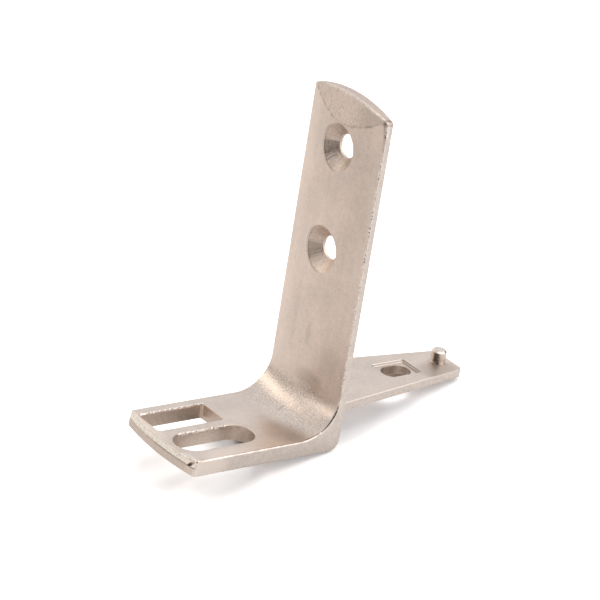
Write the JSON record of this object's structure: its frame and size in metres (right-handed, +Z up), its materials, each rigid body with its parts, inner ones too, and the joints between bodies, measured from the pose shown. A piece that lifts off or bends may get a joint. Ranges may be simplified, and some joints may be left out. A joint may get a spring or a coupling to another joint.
{
  "type": "oven door mounting bracket",
  "caption": "Cast metal bracket for an oven door: slotted foot, upright arm with countersunk screw holes, and a tapered tail with a slot and a round pin.",
  "frame": {"origin": "midway between the two screw holes of the arm, on the arm's flat back", "axes": "+X out of the arm's flat back, towards the tail; +Y across the bracket, along the arm's width; +Z up the arm, along the pin"},
  "size_m": [0.084, 0.0274, 0.0835],
  "materials": {
    "cast_metal": "satin, fine cast grain",
    "turned_steel": "bright turned"
  },
  "bodies": {
    "root": {"bracket": "cast_metal", "pivot_pin": "turned_steel"}
  },
  "joints": []
}
